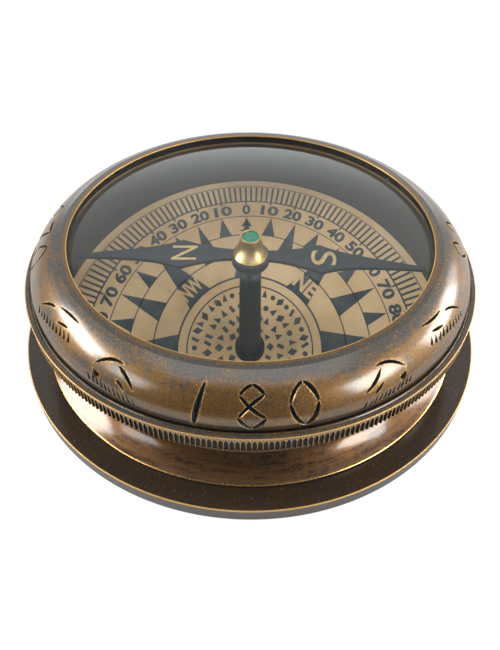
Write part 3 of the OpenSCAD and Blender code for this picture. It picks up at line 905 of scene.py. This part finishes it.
def make_cutter(strokes, rng):
    """One mesh of closed V-shaped bars, one for each stroke."""
    vertices, faces = [], []
    for stroke in strokes:
        rings = cutter_rings(stroke, rng)
        size = len(rings[0])
        start = len(vertices)
        for ring in rings:
            vertices += ring
        for row in range(len(rings) - 1):
            for k in range(size):
                a, b = start + row * size + k, start + row * size + (k + 1) % size
                faces.append((a, b, b + size, a + size))
        faces.append([start + k for k in reversed(range(size))])
        faces.append([start + (len(rings) - 1) * size + k for k in range(size)])
    mesh = bpy.data.meshes.new("chisel")
    mesh.from_pydata(vertices, [], faces)
    cutter = bpy.data.objects.new("chisel", mesh)
    bpy.context.collection.objects.link(cutter)
    take(cutter)
    edit_all()
    face_outwards()
    return cutter


CUT_PASSES = 4


def chisel(bezel, strokes):
    """Cuts the strokes out of the bezel. Strokes that meet are cut in different passes."""
    rng = random.Random(7)
    for first in range(CUT_PASSES):
        cutter = make_cutter(strokes[first::CUT_PASSES], rng)
        take(bezel)
        cut = bezel.modifiers.new("cut", "BOOLEAN")
        cut.operation = "DIFFERENCE"
        cut.solver = "MANIFOLD"
        cut.object = cutter
        bpy.ops.object.modifier_apply(modifier=cut.name)
        bpy.data.objects.remove(cutter)


# How far round a cut the brass is rubbed bright, and how far its own walls can lie from its middle line
HALO = 0.5 * MM
CUT_REACH = 1.6 * MM


def below_surface(co):
    """How far a point lies inside the bezel's outer arcs, in metres."""
    r = math.hypot(co.x, co.y)
    from_side = Vector((r - SIDE_CENTRE[0], co.z - SIDE_CENTRE[1]))
    if math.degrees(math.atan2(from_side.y, from_side.x)) < blend_angle:
        return SIDE_CURVE - from_side.length
    return CROWN_CURVE - math.hypot(r - CROWN_CENTRE[0], co.z - CROWN_CENTRE[1])


def paint_cuts(bezel, strokes):
    """Marks the cuts' soot and their bright edges on the bezel's vertices."""
    rng = random.Random(23)
    places_on = [(stroke.station(i / (2 * STATIONS)), stroke.width, stroke.gilt * rng.uniform(0.6, 1.1))
                 for stroke in strokes for i in range(2 * STATIONS + 1)]
    tree = kdtree.KDTree(len(places_on))
    for i, ((turn, up, fullness), width, gilt) in enumerate(places_on):
        tree.insert(on_bezel(turn, up)[0], i)
    tree.balance()
    worn = [0.0] * len(bezel.data.vertices)
    bezel.data.attributes["wear"].data.foreach_get("value", worn)
    soot_and_shade = [0.0] * len(worn)
    bezel.data.attributes["soot_and_shade"].data.foreach_get("value", soot_and_shade)
    for i, vertex in enumerate(bezel.data.vertices):
        _, nearest, distance = tree.find(vertex.co)
        (turn, up, fullness), width, gilt = places_on[nearest]
        half = (0.05 + CUT_SPREAD * width / 2 * fullness) * MM
        if distance > half + 4 * HALO:
            continue
        depth = below_surface(vertex.co) if distance < CUT_REACH else 0
        if depth > 1.5 * EDGE_DEPTH:
            soot_and_shade[i] = 1.0
            worn[i] = 0.0
        elif depth > 0.4 * EDGE_DEPTH:
            worn[i] = gilt
        else:
            beyond = max(distance - half - 0.1 * MM, 0)
            worn[i] = max(worn[i], 0.55 * gilt * math.exp(-beyond / HALO))
    bezel.data.attributes["wear"].data.foreach_set("value", worn)
    bezel.data.attributes["soot_and_shade"].data.foreach_set("value", soot_and_shade)


KNURLS = 320
KNURL_DEPTH = 0.55 * MM
KNURL_TOP_R = COLLAR_R - 0.06 * MM


def knurl_band():
    """The knurled band: one groove and half a ridge on each side, spun round 320 times."""
    pitch = FULL_TURN / KNURLS
    # Share of the pitch and share of the depth, across the groove
    across = [(-0.5, 0.0), (-0.43, 0.08), (-0.35, 0.8), (0.0, 1.0), (0.35, 0.8), (0.43, 0.08), (0.5, 0.0)]
    # Height, radius of the ridge, and how open the groove is, up the band and back inside it
    inside_r = KNURL_TOP_R - KNURL_DEPTH - 0.25 * MM
    rows = [(COLLAR_Z, KNURL_TOP_R - 0.05 * MM, 1.0), (COLLAR_Z + 0.1 * MM, KNURL_TOP_R, 1.0),
            (KNURL_TOP_Z - 0.85 * MM, KNURL_TOP_R, 1.0), (KNURL_TOP_Z - 0.5 * MM, KNURL_TOP_R, 0.76),
            (KNURL_TOP_Z - 0.2 * MM, KNURL_TOP_R, 0.42), (KNURL_TOP_Z + 0.08 * MM, KNURL_TOP_R, 0.03),
            (KNURL_TOP_Z + 0.2 * MM, inside_r, 0.0), (COLLAR_Z, inside_r, 0.0)]
    leave_edit_and_deselect()
    bpy.ops.mesh.primitive_grid_add(x_subdivisions=len(across) - 1, y_subdivisions=len(rows), size=MM)
    band = named("knurl_band")
    wear, soot_and_shade = [], []
    for vertex in band.data.vertices:
        column = round((vertex.co.x / MM + 0.5) * (len(across) - 1))
        row = round((vertex.co.y / MM + 0.5) * len(rows)) % len(rows)
        share, deep = across[column]
        z, radius, open_share = rows[row]
        in_groove = deep > 0.2 and open_share > 0.1
        full = open_share > 0.9
        angle = pitch * (share if abs(share) == 0.5 else share * open_share)
        r = radius - KNURL_DEPTH * deep * min(open_share * 1.3, 1)
        vertex.co = (r * math.sin(angle), -r * math.cos(angle), z)
        between_tips = abs(share) == 0.5 and open_share < 0.9
        wear.append(0.0 if between_tips or in_groove else 0.55 if full else 1.0)
        soot_and_shade.append(1.0 if in_groove else 0.0)
    store(band, "wear", wear)
    store(band, "soot_and_shade", soot_and_shade)
    take(band)
    edit_all()
    spin_round(KNURLS, 2e-6, copies=True)
    face_outwards()
    return band


def make_collar():
    """Collar: a ring and sleeve, a shelf with two turned lines, a bright rim and the knurl."""
    wall_r = KNURL_TOP_R - KNURL_DEPTH - 0.1 * MM
    grooves = []
    for k in range(2):
        r = COLLAR_R - 1.05 * MM - k * 0.5 * MM
        grooves += [corner(r + 0.14 * MM, SHELF_Z, 0.03 * MM, 0.45), corner(r, SHELF_Z - 0.14 * MM),
                    corner(r - 0.14 * MM, SHELF_Z, 0.03 * MM, 0.3)]
    outline = [
        corner(COLLAR_BORE_R, COLLAR_Z), corner(wall_r, COLLAR_Z), corner(wall_r, KNURL_TOP_Z + 0.1 * MM),
        corner(COLLAR_R, KNURL_TOP_Z + 0.18 * MM, 0.05 * MM, 0.35),
        corner(COLLAR_R, SHELF_Z, 0.13 * MM, 1.0),
        *grooves,
        corner(BEZEL_FOOT_R + 0.34 * MM, SHELF_Z, 0, 0.3),
        corner(BEZEL_FOOT_R + 0.26 * MM, SHELF_Z, 0, 0, 1.0),
        corner(SLEEVE_R, SHELF_Z, 0, 0, 1.0), corner(SLEEVE_R, NECK_TOP_Z), corner(COLLAR_BORE_R, NECK_TOP_Z)]
    collar = turned("knurled_grip", outline, TURN_STEPS)
    band = knurl_band()
    leave_edit_and_deselect()
    band.select_set(True)
    collar.select_set(True)
    bpy.context.view_layer.objects.active = collar
    bpy.ops.object.join()
    smooth()
    return collar


def bowl(radius, curve):
    """Depth of a round face at a distance from its axis."""
    return curve - math.sqrt(curve * curve - radius * radius)


def make_lens():
    """Thick magnifying glass, ground off square at its edge."""
    steps = 24
    edge = LENS_R - 0.15 * MM
    below = [corner(edge * i / steps, lens_low.z + bowl(edge * i / steps, LENS_BOTTOM_CURVE))
             for i in range(steps + 1)]
    above = [corner(edge * i / steps, lens_high.z - bowl(edge * i / steps, LENS_TOP_CURVE))
             for i in reversed(range(steps + 1))]
    rim = [corner(LENS_R, below[-1][1] + 0.12 * MM), corner(LENS_R, above[0][1] - 0.12 * MM)]
    return turned("magnifying_glass", below + rim + above, 360)


bezel = make_bezel()
bezel_strokes = all_strokes()
chisel(bezel, bezel_strokes)
paint_cuts(bezel, bezel_strokes)
take(bezel)
smooth()
settle(bezel, "lid_group", "brass_aged", BEZEL_BRASS, "bezel_ring")
settle(make_collar(), "lid_group", "brass_aged", BEZEL_BRASS, "knurled_collar")
settle(make_lens(), "glass_group", "lens_glass", GLASS, "lens")


# The needle: blade, gilt letters, cap and stone

# In degrees and millimetres
NEEDLE_TURN = -2.3
NEEDLE_REACH = 37.5
HUB_R = 4.05
NECK_HALF = 1.38
LOZENGE_X = 14.9
LOZENGE_HALF = 3.95
TIP_HALF = 0.42


def blade_edge():
    """Half of the blade's outline, in millimetres: the neck, the lozenge and the long point."""
    steps = 12
    start = math.sqrt(HUB_R ** 2 - NECK_HALF ** 2) + 0.02
    edge = []
    for i in range(steps + 1):
        t = i / steps
        edge.append((start + t * (LOZENGE_X - start), NECK_HALF + (LOZENGE_HALF - NECK_HALF) * t ** 1.7))
    for i in range(1, steps + 1):
        t = i / steps
        half = TIP_HALF + (LOZENGE_HALF - TIP_HALF) * ((1 - t) + (1 - t) ** 5) / 2
        edge.append((LOZENGE_X + t * (NEEDLE_REACH - LOZENGE_X), half))
    return edge


def make_blade():
    """Flat steel blade with softened edges, cut out round the hub."""
    edge = blade_edge()
    hub_start = math.degrees(math.asin(NECK_HALF / HUB_R))
    hub_arc = [(HUB_R * math.cos(math.radians(a)), HUB_R * math.sin(math.radians(a)))
               for a in (hub_start + (180 - 2 * hub_start) * i / 24 for i in range(1, 24))]
    upper = edge[::-1] + hub_arc + [(-x, y) for x, y in edge]
    outline = upper + [(-x, -y) for x, y in upper]
    leave_edit_and_deselect()
    bpy.ops.mesh.primitive_circle_add(vertices=len(outline), radius=MM, fill_type="NGON",
                                      location=(0, 0, needle_low.z))
    blade = named("needle_blade")
    bpy.ops.object.transform_apply()
    for vertex, (x, y) in zip(blade.data.vertices, outline):
        vertex.co = (x * MM, y * MM, needle_low.z)
    edit_all()
    rise = (0, 0, needle_high.z - needle_low.z)
    bpy.ops.mesh.extrude_region_move(TRANSFORM_OT_translate={"value": rise})
    bpy.ops.mesh.select_all(action="SELECT")
    face_outwards()
    soft = blade.modifiers.new("soft edges", "BEVEL")
    soft.width = 0.14 * MM
    soft.segments = 3
    soft.limit_method = "ANGLE"
    soft.angle_limit = math.radians(40)
    bpy.ops.object.modifier_apply(modifier=soft.name)
    smooth(40)
    lay(blade, rotation(NEEDLE_TURN))
    return blade


def lettering(name, words, width, height, bold, lift):
    """Plain letters as a flat mesh of this width and height in metres, centred on the origin."""
    leave_edit_and_deselect()
    bpy.ops.object.text_add(location=(0, 0, 0))
    text = bpy.context.object
    text.data.body = words
    text.data.resolution_u = 4
    text.data.offset = bold
    bpy.ops.object.convert(target="MESH")
    letters = named(name)
    xs = [v.co.x for v in letters.data.vertices]
    ys = [v.co.y for v in letters.data.vertices]
    middle = Vector(((min(xs) + max(xs)) / 2, (min(ys) + max(ys)) / 2, 0))
    scale = Matrix.Diagonal((width / (max(xs) - min(xs)), height / (max(ys) - min(ys)), 1, 1))
    lay(letters, Matrix.Translation((0, 0, lift)) @ scale @ Matrix.Translation(-middle))
    return letters


def join(name, parts):
    """Joins parts into the first of them."""
    leave_edit_and_deselect()
    for part in parts:
        part.select_set(True)
    bpy.context.view_layer.objects.active = parts[0]
    bpy.ops.object.join()
    return named(name)


def make_needle_letters():
    """N and S, which read along the blade."""
    letters = []
    for words, x, turn in (("N", -14.3, 90), ("S", 15.7, -90)):
        letter = lettering("letter", words, 4.1 * MM, 5.4 * MM, 0.004, 0)
        place = Matrix.Translation((x * MM, 0, needle_high.z + 0.015 * MM))
        turned_place = rotation(NEEDLE_TURN) @ place
        lay(letter, turned_place @ rotation(turn))
        letters.append(letter)
    return join("needle_letters", letters)


CAP_FOOT_R = 3.7 * MM
CAP_TOP_R = 2.37 * MM
CAP_FLARE = 2.2


def make_cap():
    """Trumpet-shaped brass cap with a shank, a hollow and a seat for the stone."""
    foot_z = hub_high.z + (needle_high.z - needle_low.z)
    flare_z = foot_z + 0.23 * MM
    steps = 20
    flare = [corner(CAP_TOP_R + (CAP_FOOT_R - CAP_TOP_R) * (1 - i / steps) ** CAP_FLARE,
                    flare_z + (cap_high.z - flare_z) * i / steps) for i in range(1, steps)]
    seat_r = jewel_high.x + 0.02 * MM
    outline = [
        corner(1.0 * MM, cap_low.z), corner(1.6 * MM, cap_low.z), corner(1.6 * MM, foot_z),
        corner(CAP_FOOT_R, foot_z, 0.08 * MM), corner(CAP_FOOT_R, flare_z), *flare,
        corner(CAP_TOP_R, cap_high.z, 0.12 * MM), corner(seat_r, cap_high.z, 0.08 * MM),
        corner(seat_r, jewel_low.z), corner(1.0 * MM, jewel_low.z)]
    return turned("trumpet_cap", outline, 192)


def make_stone():
    """Bearing stone with a low dome."""
    radius = jewel_high.x
    steps = 8
    dome = [corner(radius * 0.97 * math.sin(math.pi / 2 * (1 - i / steps)),
                   jewel_high.z - 0.16 * MM * (1 - math.cos(math.pi / 2 * (1 - i / steps))))
            for i in range(steps)]
    outline = [corner(0, jewel_low.z), corner(radius, jewel_low.z), corner(radius, jewel_high.z - 0.22 * MM),
               *dome, corner(0, jewel_high.z)]
    return turned("green_jewel", outline, 96)


def make_hub():
    outline = [corner(1.65 * MM, hub_low.z), corner(HUB_R * MM, hub_low.z, 0.12 * MM),
               corner(HUB_R * MM, hub_high.z), corner(1.65 * MM, hub_high.z)]
    return turned("black_hub", outline, 128)


settle(make_blade(), "needle_group", "needle_steel", STEEL_BLADE, "needle")
settle(make_needle_letters(), "needle_group", "brass_bright", GILT)
settle(make_cap(), "needle_group", "brass_bright", BRIGHT_BRASS, "needle_cap")
settle(make_stone(), "needle_group", "jewel", STONE, "cap_jewel")
settle(make_hub(), "needle_group", "black_paint", BLACK, "needle_hub")


# The dial's print: circles, ticks, points, numbers and letters

PRINT_Z = DIAL_Z + 0.012 * MM
DIAL_TURN = 2.0


def ink_circle(radius, width):
    """A thin printed circle."""
    leave_edit_and_deselect()
    inner = (radius - width / 2) * MM
    bpy.ops.mesh.primitive_circle_add(vertices=360, radius=inner, location=(0, 0, PRINT_Z))
    circle = named("circle")
    bpy.ops.object.transform_apply()
    edit_all()
    bpy.ops.mesh.extrude_edges_move()
    growth = (radius + width / 2) * MM / inner
    bpy.ops.transform.resize(value=(growth, growth, 1), center_override=(0, 0, PRINT_Z))
    bpy.ops.object.mode_set(mode="OBJECT")
    return circle


def spin_copies(piece, count):
    """Repeats a flat piece round the dial."""
    take(piece)
    edit_all()
    spin_round(count, 1e-8, copies=True)
    leave_edit()
    return piece


def ink_ticks(inner, outer, width, count):
    """Radial bars between two radii."""
    leave_edit_and_deselect()
    bpy.ops.mesh.primitive_plane_add(size=MM, location=(0, 0, 0))
    tick = named("ticks")
    lay(tick, Matrix.Translation((0, (inner + outer) / 2 * MM, PRINT_Z))
        @ Matrix.Diagonal((width, outer - inner, 1, 1)))
    return spin_copies(tick, count)


def ink_points(apex, base, half_angle, count, first):
    """Points that narrow from a base circle outwards to their apex."""
    base_steps = 6
    leave_edit_and_deselect()
    bpy.ops.mesh.primitive_circle_add(vertices=base_steps + 2, radius=MM, fill_type="NGON")
    point = named("points")
    places = [(math.radians(first), apex)]
    places += [(math.radians(first - half_angle + 2 * half_angle * i / base_steps), base)
               for i in range(base_steps + 1)]
    for vertex, (angle, radius) in zip(point.data.vertices, places):
        vertex.co = (radius * math.sin(angle) * MM, radius * math.cos(angle) * MM, PRINT_Z)
    return spin_copies(point, count)


def ink_word(words, radius, angle, width, height, bold, lift=0.0):
    """Letters or numbers that stand on the dial at an angle clockwise from the far side."""
    word = lettering("word", words, width * MM, height * MM, bold, PRINT_Z + lift)
    turn = rotation(-angle)
    lay(word, turn @ Matrix.Translation((0, radius * MM, 0)))
    return word


def ink_mark(corners, matrix):
    """A flat mark of a few corners, one millimetre in radius before it is laid in place."""
    leave_edit_and_deselect()
    bpy.ops.mesh.primitive_circle_add(vertices=corners, radius=MM, fill_type="NGON")
    mark = named("mark")
    lay(mark, matrix)
    return mark


# Radius of each ring of ornament, count of marks, half width and half length of a mark
ORNAMENT_RINGS = [(11.7, 40, 0.5, 1.15), (9.0, 30, 0.55, 1.1), (6.5, 20, 0.6, 1.0), (4.3, 12, 0.6, 0.8)]
MARK_CORNERS = {"lozenge": 4, "bar": 4, "dart": 3, "dot": 10}


def ornament():
    """Close rings of lozenges, bars, darts and dots inside the points."""
    rng = random.Random(12)
    parts = []
    for radius, count, half, reach in ORNAMENT_RINGS:
        sizes = {"lozenge": (half * 1.5, reach), "bar": (half * 0.95, reach), "dart": (half * 1.3, reach),
                 "dot": (half * 1.1, half * 1.1)}
        for k in range(count):
            shape = rng.choice(tuple(MARK_CORNERS))
            turn = Matrix.Rotation(-FULL_TURN * (k + rng.uniform(-0.12, 0.12)) / count, 4, "Z")
            tilt = Matrix.Rotation(rng.uniform(-0.5, 0.5), 4, "Z")
            place = turn @ Matrix.Translation((0, radius * MM, PRINT_Z)) @ tilt
            scale = Matrix.Diagonal((*sizes[shape], 1, 1))
            parts.append(ink_mark(MARK_CORNERS[shape], place @ scale @ rotation(45 if shape == "bar" else 0)))
    return parts


# Corners of each part of the zero's mark, then its half width, half height and radius
ZERO_MARK = [(3, 1.5, 1.5, 28.4), (4, 0.45, 3.2, 27.2), (4, 1.9, 0.45, 26.6)]
ZERO_LIFT = 0.004 * MM


def zero_mark():
    """A plain arrowhead with a cross bar over the dial's zero."""
    return [ink_mark(corners, Matrix.Translation((0, radius * MM, PRINT_Z + ZERO_LIFT))
                     @ Matrix.Diagonal((width, height, 1, 1)))
            for corners, width, height, radius in ZERO_MARK]


# Radius and width of each printed circle; then apex, base, half angle, count and first angle of the points
CIRCLES = [(39.75, 0.22), (34.9, 0.38), (30.5, 0.22), (25.5, 0.24), (20.4, 0.26), (15.3, 0.42), (13.25, 0.3)]
POINTS = [(30.4, 25.5, 3.4, 16, 11.25), (30.4, 20.4, 6.0, 8, 22.5), (30.4, 15.4, 11.5, 8, 45)]
# Inner and outer radius, width and count of the degree marks
DEGREE_MARKS = [(35.1, 39.5, 0.5, 180), (34.0, 35.1, 0.4, 36)]
NUMBER_R = 32.45
NUMBER_WIDTHS = {1: 2.0, 2: 4.3, 3: 5.5}
NUMBER_HEIGHT = 2.85


def make_print():
    """The dial's whole print as one thin ink layer."""
    parts = [ink_circle(*circle) for circle in CIRCLES]
    parts += [ink_ticks(*marks) for marks in DEGREE_MARKS]
    parts += [ink_points(*points) for points in POINTS]
    for angle in range(0, 360, 10):
        number = str(angle if angle <= 180 else 360 - angle)
        parts.append(ink_word(number, NUMBER_R, angle, NUMBER_WIDTHS[len(number)], NUMBER_HEIGHT, 0.04))
    parts += ornament() + zero_mark()
    print_layer = join("dial_print", parts)
    lay(print_layer, rotation(DIAL_TURN))
    return print_layer


def make_dial_letters():
    """Light letters on the four great points between the main ones."""
    letters = [ink_word(words, 18.1, angle, 5.2, 3.6, 0.035, 0.012 * MM)
               for words, angle in (("NE", 45), ("SE", 135), ("SW", 225), ("NW", 315))]
    layer = join("dial_letters", letters)
    lay(layer, rotation(DIAL_TURN))
    return layer


settle(make_print(), "case", "dial_paper", INK)
settle(make_dial_letters(), "case", "dial_paper", PAPER)


# Materials of the pieces that stay as they are

KEPT_FINISHES = {
    "base_pad": FELT, "base_screws": STEEL, "body_seal": RUBBER, "dial_plate": PLATE, "dial_card": PAPER,
    "post_screw": BRIGHT_BRASS, "post_washer": BLACK, "pivot_pin": STEEL,
    "lens_gasket_upper": RUBBER, "lens_gasket_lower": RUBBER, "lens_retainer": INNER_BRASS}

for node, finish in KEPT_FINISHES.items():
    for material_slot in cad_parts[node].material_slots:
        material_slot.material = finish


# Light, floor and camera


# Strength of the world as plain light, and as it is seen through the glass
FILL_LEVEL = 0.9
THROUGH_GLASS_LEVEL = 0.45


def make_world():
    """A white studio: bright low behind the object, darker on the camera's side."""
    world = bpy.data.worlds.new("studio")
    bpy.context.scene.world = world
    world.use_nodes = True
    world.node_tree.nodes.clear()
    wires = Wire(world.node_tree)
    x, y, z = wires.node("TexCoord", {}, {}, "Generated").parts()
    near_side = (-y).step(0.0, 0.65)
    behind = y.step(0.1, 0.7) * x.maths("ABSOLUTE").step(0.65, 0.4)
    seen = 0.45 - near_side * 0.33 + x.step(0.2, 0.6) * 0.12
    seen = seen + behind * (z.step(0.75, 0.35) * 0.35 + z.step(0.45, 0.1) * 1.3)
    mirrored = seen + (THROUGH_GLASS_LEVEL - seen) * wires.ray("Transmission")
    glossy = wires.ray("Glossy")
    level = FILL_LEVEL + (mirrored - FILL_LEVEL) * glossy
    camera = wires.ray("Camera")
    strength = level * (1 - camera) + camera
    tone = glossy.mix((1.0, 1.0, 1.0), (0.95, 0.985, 1.0))
    wires.node("Background", {}, {"Color": tone, "Strength": strength}).show("World")


# Azimuth and elevation in degrees, then distance, width and height in metres, and radiance
SOFTBOXES = {
    "left_softbox": (-90, 29, 0.6, 0.29, 0.18, 12),
    "left_front_softbox": (-123, 28, 0.6, 0.18, 0.13, 4.5),
    "right_softbox": (79, 17, 0.6, 0.3, 0.18, 9),
    "right_far_softbox": (60, 16, 0.6, 0.09, 0.14, 2.5),
    "right_front_softbox": (121, 27, 0.6, 0.24, 0.18, 10),
    "overhead_panel": (180, 80.5, 1.0, 1.1, 0.6, 0.95)}
AIM = Vector((0, 0, 0.02))


def softbox(name, azimuth, elevation, distance, width, height, radiance):
    """An area lamp aimed at the object, at an azimuth clockwise from the far side."""
    a, e = math.radians(azimuth), math.radians(elevation)
    away = Vector((math.sin(a) * math.cos(e), math.cos(a) * math.cos(e), math.sin(e)))
    lamp = bpy.data.lights.new(name, "AREA")
    lamp.shape = "RECTANGLE"
    lamp.size = width
    lamp.size_y = height
    lamp.energy = radiance * math.pi * width * height
    box = bpy.data.objects.new(name, lamp)
    box.location = away * distance + AIM
    box.rotation_euler = away.to_track_quat("Z", "Y").to_euler()
    bpy.context.collection.objects.link(box)


def make_floor():
    """Plain pale floor that keeps the object's shadow and looks white to the camera."""
    leave_edit_and_deselect()
    bpy.ops.mesh.primitive_plane_add(size=4, location=(0, 0, 0))
    floor = named("floor")
    material, wires = painted("floor")
    diffuse = wires.node("BsdfDiffuse", {}, {"Color": (0.5, 0.5, 0.5, 1)})
    glow = wires.node("Emission", {}, {"Color": (1, 1, 1, 1), "Strength": 1.12})
    wires.node("MixShader", {}, {0: wires.ray("Camera") * 0.8, 1: diffuse, 2: glow}).show()
    floor.data.materials.append(material)


CAMERA_PLACE = (0, -102.76 * MM, 103.79 * MM)
CAMERA_PITCH = 44.09
CAMERA_ROLL = 0.49
CAMERA_LENS = 31.52


def make_camera():
    camera = bpy.data.cameras.new("camera")
    camera.lens = CAMERA_LENS
    camera.sensor_width = 36
    camera.clip_start = 0.005
    view = bpy.data.objects.new("camera", camera)
    pitch = Matrix.Rotation(math.radians(CAMERA_PITCH), 4, "X")
    view.matrix_world = Matrix.Translation(CAMERA_PLACE) @ pitch @ rotation(CAMERA_ROLL)
    bpy.context.collection.objects.link(view)
    bpy.context.scene.camera = view


make_world()
for lamp_name, lamp_values in SOFTBOXES.items():
    softbox(lamp_name, *lamp_values)
make_floor()
make_camera()
bpy.context.scene.view_settings.view_transform = "Standard"

leave_edit_and_deselect()
